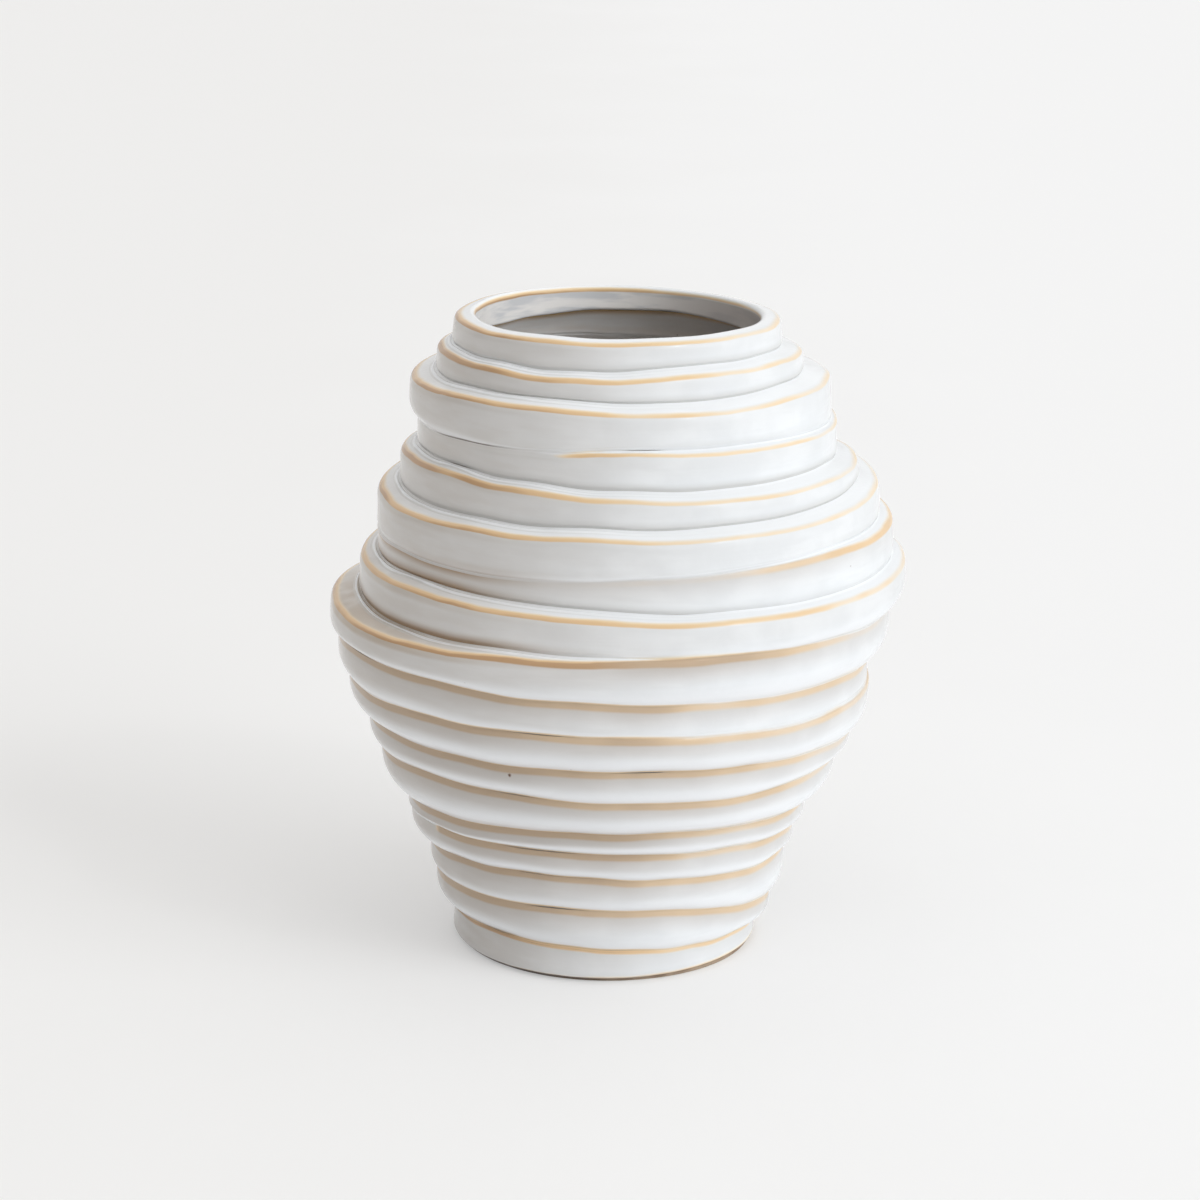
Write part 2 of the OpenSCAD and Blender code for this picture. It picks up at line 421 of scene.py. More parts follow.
# %% Cut the rings back from their joints
FILL = 1.5              # how far from the joint its filling starts on each ring, in mm
FILL_MOST = (0.75, 0.4)         # but it takes no more than these shares of a ledge and of a roll
SMEAR_REACH = 3.0       # how far up the ring above a smear goes, in mm
SMEAR_LEDGE = 0.95      # and how much of the ledge below it covers, as a share
TURN_MOST = 0.9         # the rounded edge keeps at most this share of a ledge's open part
BEAD = 1.2              # height of the squeezed-out bead, in mm
BEAD_WIDTH = 2.2        # and its width
BEAD_FROM = 5           # a ledge that is wider than this, in mm, begins to have a bead
BEAD_OVER = 3           # and it is as high as any when the ledge is wider by this
BEAD_LEAST = 0.03       # a ledge without a bead keeps this share of it for the bead's points
BEAD_FACING = (200, 110)        # the bead is left on this side and smoothed away on the other
BEAD_UNEVEN = 0.4       # share of its height that changes along it
BEAD_WAVES = (3, 20)
BEAD_STEPS = 8


def at(points, stops):
    """The points that lie at these distances along a profile."""
    found = [[np.interp(stop, far, line) for line in row.T]
             for stop, far, row in zip(stops, along(points), points)]
    return np.array(found).swapaxes(1, 2)


def cut_ledge(side, face, closed, seed):
    """Cuts a ledge back from its joint and raises a bead. Returns its width, 0 to 1, too."""
    walked = along(side)
    edge_at = walked[:, [face - 1]]
    over_edge = walked[:, -1:] - edge_at
    back = np.minimum(FILL, FILL_MOST[0] * over_edge)
    back = back + closed * (SMEAR_LEDGE * over_edge - back)
    wide = np.clip((over_edge - BEAD_FROM) / BEAD_OVER, 0, 1) * (1 - closed)
    bead_w = BEAD_LEAST * over_edge + wide * BEAD_WIDTH
    place = walked[:, face:] - edge_at
    turned = place[:, [EDGE_STEPS - 2]]
    room = over_edge - back - bead_w
    kept = np.minimum(turned, TURN_MOST * room)
    stops = np.where(place <= turned, place * kept / turned,
                     kept + (place - turned) * (room - kept) / (over_edge - turned))
    t = np.linspace(0, 1, BEAD_STEPS + 1)[1:]
    bead_stops = walked[:, -1:] - back - bead_w * (1 - t)
    tail = at(side, joined(edge_at + stops, bead_stops))
    uneven = facing(*BEAD_FACING)[:, None] * (
        1 - BEAD_UNEVEN + hand_wave(seed, *BEAD_WAVES, BEAD_UNEVEN)[:, None])
    tail[:, -BEAD_STEPS:, 1] += BEAD * wide * uneven * np.sin(math.pi * t) ** 2
    return joined(side[:, :face], tail), wide


def cut_roll(side, closed):
    """Cuts the foot of a face back from its joint."""
    walked = along(side)[:, :ROLL_STEPS]
    onward = np.minimum(FILL + closed * (SMEAR_REACH - FILL), FILL_MOST[1] * walked[:, -1:])
    foot = at(side, onward + walked * (1 - onward / walked[:, -1:]))
    return joined(foot, side[:, ROLL_STEPS:])


print("a bead is up to", BEAD, "mm high, on ledges wider than", BEAD_FROM, "mm")

# %% [markdown]
# ## Filling the joints
#
# A curve then bridges the two rings. The old corner pulls it, so it leaves one surface and
# arrives on the other without a kink. The lower ring gets its first half and the upper ring
# the rest. Under a finger's smear the curve is longer and nearly straight, so the joint is
# gone.

# %% Fill the joints
FILL_STEPS = 4
SLACK = 0.35            # how far the filling is drawn out of the corner, as a share
NARROW_SLACK = 0.25     # and how much further on a narrow ledge
SMEAR_SLACK = 0.85      # share by which it is drawn out under a smear


def fill_joint(lower, upper, name, seed):
    """Fills the joint between two outer sides and gives each its half of the filling."""
    closed = marked(SMEARED, name, SMEAR_ENDS)[:, None]
    corner = lower[:, -1:]
    lower, wide = cut_ledge(lower, FACE_END[name], closed, seed)
    upper = cut_roll(upper, closed)
    start, end = lower[:, -1:], upper[:, :1]
    slack = SLACK + NARROW_SLACK * (1 - wide)
    slack = slack + closed * (SMEAR_SLACK - slack)
    corner = corner + slack[..., None] * ((start + end) / 2 - corner)
    curve = bend(start, corner, end, np.linspace(0, 1, 2 * FILL_STEPS + 1)[1:-1])
    return joined(lower, curve[:, :FILL_STEPS]), joined(curve[:, FILL_STEPS - 1:], upper)


# Where the face ends in a finished outer side. All but the base start with half a filling.
FACE_END = {name: FACE + (0 if name == "base" else FILL_STEPS) for name in STACK}
sides = {name: outer_side(rounded[name], SEEDS["side"] + 10 * place)
         for place, name in enumerate(STACK[:-1])}
sides["rim"] = face_and_edge(rounded["rim"], SEEDS["rim"])
for place, (lower, upper) in enumerate(zip(STACK, STACK[1:])):
    sides[lower], sides[upper] = fill_joint(
        sides[lower], sides[upper], lower, SEEDS["filling"] + place)
print("filled joints:", len(STACK) - 1)

# %% [markdown]
# ## Skinning a profile
#
# The profile stands in every direction round the axis, and quads join each one to the
# next. NumPy works out all corners at once, and `from_pydata` turns them into a mesh. The
# distances and strengths go in as named attributes, one number for each corner, because a
# shader can read those.

# %% Skin a profile
ROOT = "root"


def clay_piece(name, points, paint, seats=(), open_ends=False):
    """A mesh through the profiles of all directions. Open ends are closed on the axis.

    seats are the points after which a hidden seat starts; its quads are shaded flat, so
    that they don't bend the light on the skin beside them."""
    count = points.shape[1]
    radius, height = np.moveaxis(points, 2, 0)
    corners = np.stack(
        [radius * SIDEWAYS[:, None], radius * LENGTHWAYS[:, None], height], axis=2)
    corners = corners.reshape(-1, 3) * MM
    i = np.arange(TURNS)[:, None]
    j = np.arange(count - 1 if open_ends else count)[None, :]
    near, far = i * count, (i + 1) % TURNS * count
    onward = (j + 1) % count
    quads = np.stack([near + j, far + j, far + onward, near + onward], axis=2).reshape(-1, 4)
    faces = quads.tolist()
    values = {key: value.reshape(-1) for key, value in paint.items()}
    if open_ends:
        for column in (0, count - 1):
            hub = len(corners)
            middle = corners[column::count][:TURNS].mean(axis=0) * (0, 0, 1)
            corners = np.vstack([corners, middle])
            rim_of = np.arange(TURNS) * count + column
            pairs = zip(rim_of.tolist(), np.roll(rim_of, -1).tolist())
            faces += [(hub, b, a) if column == 0 else (hub, a, b) for a, b in pairs]
            values = {key: np.append(value, value[column]) for key, value in values.items()}
    low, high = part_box(name)
    corners = np.clip(corners, low, high)
    mesh = bpy.data.meshes.new(name + "_clay")
    mesh.from_pydata(corners.tolist(), [], faces)
    for key, value in values.items():
        attribute = mesh.attributes.new(key, "FLOAT", "POINT")
        attribute.data.foreach_set("value", value.astype(np.float32))
    smooth = np.ones(len(mesh.polygons), bool)
    for seat in seats:
        smooth[seat:quads.shape[0]:j.shape[1]] = False
    mesh.polygons.foreach_set("use_smooth", smooth)
    mesh.update()
    piece = bpy.data.objects.new(name + "_clay", mesh)
    scene.collection.objects.link(piece)
    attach(piece, ROOT)
    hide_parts(name)
    return piece


print("every piece will have", TURNS, "strips of quads, side by side round the axis")

# %% [markdown]
# ## Measuring for the glaze
#
# Each point of a profile remembers how far it lies from the lines where the glaze changes:
# from its own upper edge, from the edge of the ring below, whose colour runs on across the
# joint, and from the nearest joint. On a wide ledge the first distance grows more slowly,
# since thin glaze lies further in on it than on a steep edge. Each point also remembers how
# far the face leans over there, because the underside of a roll is painted lighter, as
# painted light from the table below, how narrow the ledge is, and how strong the marks are.

# %% Measure for the glaze
FAR = 60.0              # a distance that is too far from an edge or a joint to matter, in mm
MID_EDGE = 2            # the honey starts at this point of the rounded edge, counted from 0
SLOWER = 2.2            # on a wide ledge the honey fades out more slowly by this factor
INSIDE_POOL_AND_SHADE = 0.55      # how brown the pooled glaze and painted shade are in the inner notches
INSIDE_POOL_AND_SHADE_OF = {"rim": 0.5, "ring_17": 1.0, "ring_16": 0.0}
WIDE_POOL_AND_SHADE = {"ring_17": 0.5}    # its distances are shortened, so that its pool and painted shade are wider
FADING_POOL_AND_SHADE = "ring_17"         # its pool and painted shade fade out towards its lower notch
NARROWER = {"base": 0.5, "ring_15": 0.35}       # these are painted less like narrow rings
SHADY_SIDE = (200, 105)         # the side in shade: here the glaze is painted greyer, as painted shade


def from_ends(walked):
    """How far each point of a run lies from the nearer of its two ends."""
    return np.minimum(walked, walked[:, -1:] - walked)


def past_edge(name, walked, slower):
    """How far each point lies past the upper edge, counted more slowly beyond it."""
    past = walked - walked[:, [FACE_END[name] + MID_EDGE]]
    return np.where(past > 0, past / slower, past)


def paint_of(name, outer, points, below):
    """What the glaze reads, for each point of the profile; outer is the outer side's size."""
    face = FACE_END[name]
    walked, walked_in = along(points[:, :outer]), along(points[:, outer:])
    ledge = walked[:, -1:] - walked[:, [face + EDGE_STEPS - 2]]
    wide = np.ones((TURNS, 1)) if name == "rim" else np.minimum(1, ledge / WIDE_LEDGE)
    strength = edge_strength(name)
    blank = np.zeros(points.shape[:2])
    lean, pool, line, thin, inside, narrow = (blank.copy() for _ in range(6))
    edge, joint, under = blank - FAR, blank + FAR, blank + FAR
    edge[:, :outer] = past_edge(name, walked, 1 + (SLOWER - 1) * wide)
    joint[:, :outer] = from_ends(walked)
    joint[:, outer:] = WIDE_POOL_AND_SHADE.get(name, 1) * from_ends(walked_in)
    under[:, :face] = below["past"][:, None] + walked[:, :face]
    spill, rise = np.moveaxis(np.gradient(points[:, :outer], axis=1), 2, 0)
    lean[:, :outer] = np.clip(spill / np.maximum(1e-6, np.hypot(rise, spill)), 0, 1)
    # pooled glaze and painted shade at the foot of some rings and in the notches inside
    pool[:, :face] = marked(POOL_AND_SHADE_AT_FOOT_OF, name, FOOT_ENDS)[:, None]
    # a dark line of painted shadow at the foot of some pieces
    line[:, :face] = marked(SHADOW_LINE_AT_FOOT_OF, name, FOOT_ENDS)[:, None]
    pool[:, outer:] = INSIDE_POOL_AND_SHADE_OF.get(name, INSIDE_POOL_AND_SHADE)
    if name == FADING_POOL_AND_SHADE:
        pool[:, outer:] *= np.linspace(1, 0, points.shape[1] - outer)
    thin[:, face:outer] = THIN_LEDGE.get(name, 0) * facing(*THIN_FACING)[:, None]
    inside[:, outer:] = 1
    up_face = np.minimum(1, walked / walked[:, [face - 1]])
    narrow[:, :outer] = below["narrow"][:, None] * (1 - up_face) + (1 - wide) * up_face
    narrow *= NARROWER.get(name, 1)
    paint = {"edge": edge, "joint": joint, "under": under, "lean": lean, "pool": pool,
             "line": line, "thin": thin, "inside": inside, "narrow": narrow,
             "shady": blank + facing(*SHADY_SIDE)[:, None],
             "bold": blank + strength[:, None],
             "bold_under": blank + below["bold"][:, None]}
    return paint, {"narrow": 1 - wide[:, 0], "past": edge[:, outer - 1], "bold": strength}


print("rings with a pool of their own inside:", sorted(INSIDE_POOL_AND_SHADE_OF))

# %% [markdown]
# ## The inner side of a ring
#
# Inside, every ring bulges and every joint is a notch, as coils do that are luted but not
# scraped. The bulge is a sine curve laid over a straight line from notch to notch. Near the
# mouth the notches are shallower, because a hand can reach them.

# %% Draw the inner side
INNER_STEPS = 11
INNER_BULGE = 0.7       # below 1, the bulge of an inner wall is fuller near its notches
NOTCH = 1.6             # how far the inner notches are cut back from the seats, in mm
TIGHT_NOTCH = {"rim": 1.4, "ring_17": 0.8}


def inner_side(points, upper_notch, lower_notch):
    """The bulging inner side of one ring, from its upper notch down to its lower one."""
    t = np.linspace(0, 1, INNER_STEPS)
    top = points[:, [UPPER_SEAT]] + (upper_notch, 0)
    foot = points[:, [SEAT]] + (lower_notch, 0)
    bulge = points[:, INSIDE, :1] - (top + foot)[..., 0] / 2
    return straight(top, foot, t) + profile(bulge * np.sin(math.pi * t) ** INNER_BULGE, 0)


def notch_under(name):
    """How far the notch at the foot of this piece is cut back."""
    return TIGHT_NOTCH.get(name, NOTCH)


print("inner notches are cut back by", min(TIGHT_NOTCH.values()), "to", NOTCH, "mm")

# %% [markdown]
# ## The base
#
# The base is the first ring with a floor in it. Its sections are open: they start under the
# vase, where the foot ring is, and end on the floor. The corner between wall and floor is
# a wide curve left by a thumb, and the floor carries a faint spiral.

# %% Make the base
FLOOR_REACH = 16        # how far the curve between wall and floor reaches over the floor, in mm
FLOOR_SHARES = (0.85, 0.7, 0.55, 0.4, 0.25, 0.1)
CORNER_PULL = 3         # how far out the curve between wall and floor is pulled, in mm
SPIRAL = 0.3            # half the height of the spiral on the floor, in mm
SPIRAL_TURN = 14        # how far it turns between the floor's middle and its edge, in radians
SPIRAL_RISE = 3         # how steeply it rises from nothing in the floor's middle
UNDER_SHARES = (0.1, 0.6)       # where the underside has points, as shares of its radius
FOOT_HONEY = 0.5        # how bold the honey line is where the glaze ends above the foot

points, out = rounded["base"], sides["base"]
seat = points[:, [UPPER_SEAT]] + (notch_under("ring_02"), 0)
floor_r, floor_z = points[:, INSIDE].T[..., None]
flat_r = floor_r - FLOOR_REACH
curve = bend(seat, profile(floor_r + CORNER_PULL, floor_z), profile(flat_r, floor_z),
             np.linspace(0, 1, INNER_STEPS))
shares = np.array(FLOOR_SHARES)
swirl = np.cos(np.radians(TURN)[:, None] + SPIRAL_TURN * shares)
dish = profile(flat_r * shares,
               floor_z + SPIRAL * (swirl - 1) * np.minimum(1, shares * SPIRAL_RISE))
underside = profile(points[:, FOOT, :1] * UNDER_SHARES, points[:, FOOT, 1:])
outer, whole = out.shape[1], joined(out, curve, dish)
on_the_foot = {"past": np.zeros(TURNS), "bold": np.full(TURNS, FOOT_HONEY),
               "narrow": np.ones(TURNS)}
paint, below = paint_of("base", outer, whole, on_the_foot)
far = {"edge": -FAR, "joint": FAR, "under": FAR}
paint = {key: joined(np.full((TURNS, len(UNDER_SHARES)), far.get(key, 0.0)), value)
         for key, value in paint.items()}
base = clay_piece("base", joined(underside, whole), paint, seats=(1, 1 + outer), open_ends=True)
glazed = [base]
print("glazed pieces:", len(glazed))

# %% [markdown]
# ## The sixteen middle rings
#
# All of them are made alike, from their own sections and with their own hand marks. The
# rings are made from the bottom up, because the edge of each one colours the foot of the
# next: what is left over from one ring is handed on to the one above.

# %% Make the middle rings
for place, name in enumerate(STACK[1:-1], start=1):
    inner = inner_side(rounded[name], notch_under(STACK[place + 1]), notch_under(name))
    outer, whole = sides[name].shape[1], joined(sides[name], inner)
    paint, below = paint_of(name, outer, whole, below)
    glazed.append(clay_piece(name, whole, paint, seats=(outer - 1, whole.shape[1] - 1)))
print("middle rings:", len(glazed) - 1, " corners in each:", len(glazed[1].data.vertices))

# %% [markdown]
# ## The rim
#
# The rim has two rounded edges and a flat top between them that falls a little outwards.
# Its inner side runs straight down and steps back just above the joint, and below it the
# pooled glaze and painted shade in the notch show as a brown line in the mouth. Both upper
# edges break to honey, so the distance that the glaze reads is measured to whichever edge is
# nearer.

# %% Make the rim
TOP_STEPS = 8
WALL_STEPS = 14
STEP_TOP = 0.9          # height of the inner step's top above the joint, in mm
STEP_SLANT = 0.8        # height over which the wall turns out into the step, in mm

points, out = rounded["rim"], sides["rim"]
inner_edge = points[:, [LEDGE_END]]
top = straight(out[:, -1:], inner_edge, np.linspace(0, 1, TOP_STEPS + 1)[1:])
turn = np.linspace(0, math.pi / 2, EDGE_STEPS)[1:]
inner_round = points[:, LEDGE_END, 1:] - points[:, INSIDE, 1:]
turned = inner_edge - profile(inner_round * np.sin(turn), inner_round * (1 - np.cos(turn)))
start_r, start_z = turned[:, -1].T[..., None]
foot_r, foot_z = points[:, SEAT].T[..., None]
wall_z = start_z + (foot_z - start_z) * np.linspace(0, 1, WALL_STEPS + 1)[1:]
step = np.clip((foot_z + STEP_TOP - wall_z) / STEP_SLANT, 0, 1)
wall_r = start_r + (foot_r + notch_under("rim") - start_r) * (step * step * (3 - 2 * step))
whole = joined(out, top, turned, profile(wall_r, wall_z))
outer = whole.shape[1] - WALL_STEPS
paint, below = paint_of("rim", outer, whole, below)
walked = along(whole)
paint["edge"] = np.minimum(past_edge("rim", walked, SLOWER), walked[:, [outer - 1]] - walked)
paint["joint"] = from_ends(walked)
glazed.append(clay_piece("rim", whole, paint, seats=(whole.shape[1] - 1,)))
print("rim corners:", len(glazed[-1].data.vertices))

# %% [markdown]
# ## The foot ring
#
# The vase stands on a bare ring, wiped clean of glaze so that it doesn't stick to the
# kiln shelf. It is turned, so it is made here as a lathe profile with softened corners and
# a slightly worn resting face. Its left-hand side is painted nearly black, as painted
# shadow under the vase.

# %% Make the foot ring
FOOT_WIDTH = 9          # from the outer to the inner side of the ring, in mm
FOOT_SOFT = 0.6         # radius of its lower corners, in mm
FOOT_STEPS = 5
FOOT_WORN = 0.08        # how unevenly it is worn, in mm
FOOT_WAVES = (4, 30)
FOOT_SHADOW_SIDE = (215, 75)          # the clay is painted dark on this side, as painted shadow

low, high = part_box("foot_ring")
foot_outer, foot_top = high.x / MM, high.z / MM
worn = hand_wave(SEEDS["foot"], *FOOT_WAVES, FOOT_WORN)[:, None] - FOOT_WORN
corner = np.linspace(0, math.pi / 2, FOOT_STEPS)
sunk, raised = FOOT_SOFT * (1 - np.sin(corner)), FOOT_SOFT * (1 - np.cos(corner))
outside = profile(foot_outer - sunk + worn, raised)
inside_wall = profile(foot_outer - FOOT_WIDTH + raised, sunk)
top = profile(np.array([[foot_outer, foot_outer - FOOT_WIDTH]]) + worn * (1, 0), foot_top)
whole = joined(outside, top, inside_wall)
wear = whole[..., 1] / foot_top
# painted shadow: the left-hand side of the foot ring is laid nearly black
burnt = np.repeat(facing(*FOOT_SHADOW_SIDE)[:, None], wear.shape[1], axis=1)
foot = clay_piece("foot_ring", whole, {"wear": wear, "burnt": burnt})
print("foot ring corners:", len(foot.data.vertices))

# %% [markdown]
# ## Wiring nodes
#
# A node material is a set of small machines joined by wires. The same few kinds come up
# again and again, so a helper makes each of them and returns the socket to wire on from.
# The room round the vase has a node tree too, so these helpers serve both.

# %% Helpers for wiring nodes
class Wiring:
    """The nodes of a material or of the room."""

    def __init__(self, owner):
        owner.use_nodes = True
        self.owner = owner
        self.tree = owner.node_tree

    def plug(self, value, socket):
        """Wires another socket to this one, or sets it to a plain value."""
        if isinstance(value, bpy.types.NodeSocket):
            self.tree.links.new(value, socket)
        else:
            socket.default_value = value

    def node(self, kind, plugs=(), **settings):
        """A node of this kind; plugs says what goes into which of its inputs."""
        node = self.tree.nodes.new("ShaderNode" + kind)
        for key, value in settings.items():
            setattr(node, key, value)
        for key, value in dict(plugs).items():
            self.plug(value, node.inputs[key])
        return node

    def spot(self):
        """Where on the object a point lies, in metres."""
        return self.node("TexCoord").outputs["Object"]

    def axis(self, letter):
        """One of the three coordinates of that place."""
        return self.node("SeparateXYZ", {0: self.spot()}).outputs[letter]

    def maths(self, operation, *values):
        return self.node("Math", enumerate(values), operation=operation).outputs[0]

    def times(self, first, *others):
        """All these values multiplied."""
        for other in others:
            first = self.maths("MULTIPLY", first, other)
        return first

    def between(self, value, low, high, start=0.0, end=1.0):
        """start below low, end above high, and a soft change from one to the other."""
        return self.node("MapRange", enumerate((value, low, high, start, end)),
                         interpolation_type="SMOOTHSTEP").outputs[0]

    def noise(self, size_mm, detail=2.0, stretch=(1, 1, 1)):
        """Cloudy noise with lumps of about this size; stretch makes them longer or flatter."""
        scaled = self.node("Mapping", {"Vector": self.spot(), "Scale": [1 / s for s in stretch]})
        return self.node("TexNoise", {"Vector": scaled.outputs[0], "Detail": detail,
                                      "Scale": 1 / (size_mm * MM)}).outputs["Fac"]


print("helpers for wiring:", [name for name in vars(Wiring) if not name.startswith("_")])

# %% [markdown]
# ## Building up a finish
#
# Most of a finish is one colour laid over another, by an amount that changes from place to
# place. So a finish is a material that remembers the tone it has reached so far. Its
# helpers read the numbers that the meshes carry, mix colours and raise bumps.

# %% Helpers for a finish
class Finish(Wiring):
    """A material and the tone that it has reached so far."""

    def __init__(self, name, tone):
        super().__init__(bpy.data.materials.new(name))
        self.shader = self.tree.nodes["Principled BSDF"]
        self.tone = tone

    def painted(self, name):
        """A number that the mesh carries for each of its corners."""
        return self.node("Attribute", attribute_name=name).outputs["Fac"]

    def blend(self, amount, first, second):
        """Goes from the first colour to the second as the amount goes from 0 to 1."""
        node = self.node("Mix", {"Factor": amount}, data_type="RGBA")
        for colour, socket in ((first, node.inputs["A"]), (second, node.inputs["B"])):
            self.plug(colour if isinstance(colour, bpy.types.NodeSocket) else (*colour, 1), socket)
        return node.outputs["Result"]

    def lay(self, amount, colour):
        """Lays a colour over the tone so far, by this amount."""
        self.tone = self.blend(amount, self.tone, colour)

    def ramp(self, value, *stops):
        """A colour that follows a value from 0 to 1 through (position, colour) stops."""
        node = self.node("ValToRGB", {"Fac": value})
        node.color_ramp.interpolation = "EASE"
        elements = node.color_ramp.elements
        while len(elements) < len(stops):
            elements.new(0.5)
        for element, (position, colour) in zip(elements, stops):
            element.position = position
            element.color = (*colour, 1)
        return node.outputs["Color"]

    def bump(self, height, depth_mm, under=None):
        """A bump of this depth, laid over another one if there is one."""
        node = self.node("Bump", {"Height": height, "Distance": depth_mm * MM})
        if under is not None:
            self.plug(under, node.inputs["Normal"])
        return node.outputs["Normal"]


print("helpers for a finish:", [name for name in vars(Finish) if not name.startswith("_")])

# %% [markdown]
# ## What the white glaze reads
#
# One glaze covers every ring, so one material does too. It reads the numbers that the
# meshes carry, and four noises: broad clouds, the ragged flow of the glaze, long streaks
# along the rings, and fine grain. The flow makes every line in the glaze stray a little,
# and broad patches make the honey bolder here and fainter there.

# %% Start the glaze
WHITE = (0.81, 0.83, 0.85)
JOINT_STRAY = 0.8       # how far the lines along a joint stray, in mm
PATCHY = 0.2            # how much the boldness of the honey changes along an edge
PATCH_SIZE = 45         # size of the patches in which it does, in mm

glaze = Finish("white_glaze", WHITE)
edge, under, joint, lean, narrow, shady, pool, line, thin, inside = (
    glaze.painted(name) for name in (
        "edge", "under", "joint", "lean", "narrow", "shady", "pool", "line", "thin", "inside"))
cloud = glaze.noise(size_mm=26, detail=3)
flow = glaze.noise(size_mm=9, stretch=(2, 2, 1))
grain = glaze.noise(size_mm=1.3)
streak = glaze.noise(size_mm=5, detail=3, stretch=(6, 6, 1))


def drift(source, size):
    """A noise made to swing between minus and plus about half this size."""
    return glaze.times(glaze.maths("SUBTRACT", source, 0.5), size)


gap = glaze.maths("ADD", joint, drift(flow, JOINT_STRAY))
patches = glaze.between(glaze.noise(PATCH_SIZE), 0.3, 0.7, 1 - PATCHY, 1 + PATCHY / 2)
bold, bold_under = (glaze.times(glaze.painted(name), patches) for name in ("bold", "bold_under"))
print("nodes that read and stray:", len(glaze.tree.nodes))

# %% [markdown]
# ## White, thick and thin
#
# The white drifts a little in tone, as glaze does with its thickness, and is painted greyer
# on the shady side, as painted shade. Below an edge the glaze has run off and is thin, so
# the body shows through it as grey, and the grey is also painted shade under the ring above,
# most of all on the narrow lower rings. Under each roll of those rings the glaze is painted
# whiter, as painted light from the table below, where it also gathers. On the ledges it lies
# thick and is whiter, partly as painted light on their upturned tops.

# %% Lay the white
GREY_WHITE = (0.75, 0.77, 0.79)
SHADE_SIDE_GREY = (0.63, 0.60, 0.57)
THIN_AND_SHADE_GREY = (0.45, 0.39, 0.34)
PAINTED_LIGHT_WHITE = (0.89, 0.91, 0.94)
LEDGE_THICK_AND_LIT_WHITE = (0.86, 0.88, 0.90)
THIN_AND_SHADE_REACH = 13.0       # how far below an edge the thin glaze and its painted shade start, in mm
LEDGE_FROM = 2.2        # how far past an edge a ledge is at its whitest, in mm

glaze.lay(glaze.between(cloud, 0.35, 0.65), GREY_WHITE)
glaze.lay(glaze.between(streak, 0.45, 0.7, 0, 0.6), GREY_WHITE)
# painted shade: the shady side is laid greyer
glaze.lay(glaze.times(shady, glaze.between(streak, 0.3, 0.7, 0.75, 1)), SHADE_SIDE_GREY)
# thin glaze, with painted shade under the overhang of the ring above
thin_and_shade = glaze.times(glaze.between(edge, -THIN_AND_SHADE_REACH, 0.0),
                      glaze.between(narrow, 0.25, 1, 0.15, 0.85),
                      glaze.between(shady, 0, 1, 1, 0.6),
                      glaze.between(bold, 0.3, 0.8, 0.5, 1))
glaze.lay(thin_and_shade, THIN_AND_SHADE_GREY)
# painted light from the table below, on the underside of a roll of the narrow rings
glaze.lay(glaze.times(glaze.between(lean, 0.03, 0.7), glaze.between(narrow, 0.1, 0.8)),
          PAINTED_LIGHT_WHITE)
# thick glaze on the ledges, laid whiter partly as painted light on their upturned tops
glaze.lay(glaze.between(edge, 0.0, LEDGE_FROM), LEDGE_THICK_AND_LIT_WHITE)
print("nodes after the white:", len(glaze.tree.nodes))

# %% [markdown]
# ## The inner walls and the beige wash
#
# Inside, the glaze was swilled round and poured out. It is streaky and greyer in the rim,
# and below the rim its streaks are painted near white, as painted light that lifts the shade
# deep in the mouth. Towards the right it is painted darker, as painted shade. On some of the
# left-hand ledges, a thin wash over the body turned beige. All of it is laid before the
# honey, which covers it.

# %% Lay the inner walls and the wash
INSIDE_TONE = (0.90, 0.88, 0.86)
INSIDE_GREY = (0.68, 0.685, 0.70)
INSIDE_SHADE = (0.46, 0.42, 0.40)
PAINTED_LIGHT_DEEP_INSIDE = (0.93, 0.925, 0.92)
BEIGE = (0.52, 0.44, 0.36)
SHADE_REACH = 65        # how far to the right the painted shade inside is darkest, in mm
RIM_BLEND = 3           # height over which the rim's grey comes in above its foot, in mm

rim_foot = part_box("rim")[0].z
in_the_rim = glaze.between(glaze.axis("Z"), rim_foot, rim_foot + RIM_BLEND * MM)
# painted light: below the rim the streaks are near white, lifting the shade deep in the mouth
inner_wall = glaze.blend(glaze.between(streak, 0.42, 0.62), INSIDE_TONE,
                         glaze.blend(in_the_rim, PAINTED_LIGHT_DEEP_INSIDE, INSIDE_GREY))
# painted shade on the right-hand inner walls
to_the_right = glaze.between(glaze.axis("X"), 0.0, SHADE_REACH * MM, 0, 0.8)
glaze.lay(inside, glaze.blend(to_the_right, inner_wall, INSIDE_SHADE))
glaze.lay(glaze.times(thin, glaze.between(flow, 0.2, 0.6, 0.6, 1)), BEIGE)
print("nodes after the inner walls:", len(glaze.tree.nodes))

# %% [markdown]
# ## The honey edge
#
# On a wide ledge the honey edge is sharp on its lower side and soft on its upper side,
# because the glaze slides off the edge and leaves a clean line where it stops. On a narrow
# one it is a soft tan that starts below the edge, fills the ledge and runs on over the
# joint to the foot of the ring above, and it is painted deeper there, in part as painted
# shade of the ledge tucked under that ring. So the same helper is used twice, for the
# distance from the ring's own edge and for the distance from the edge below.

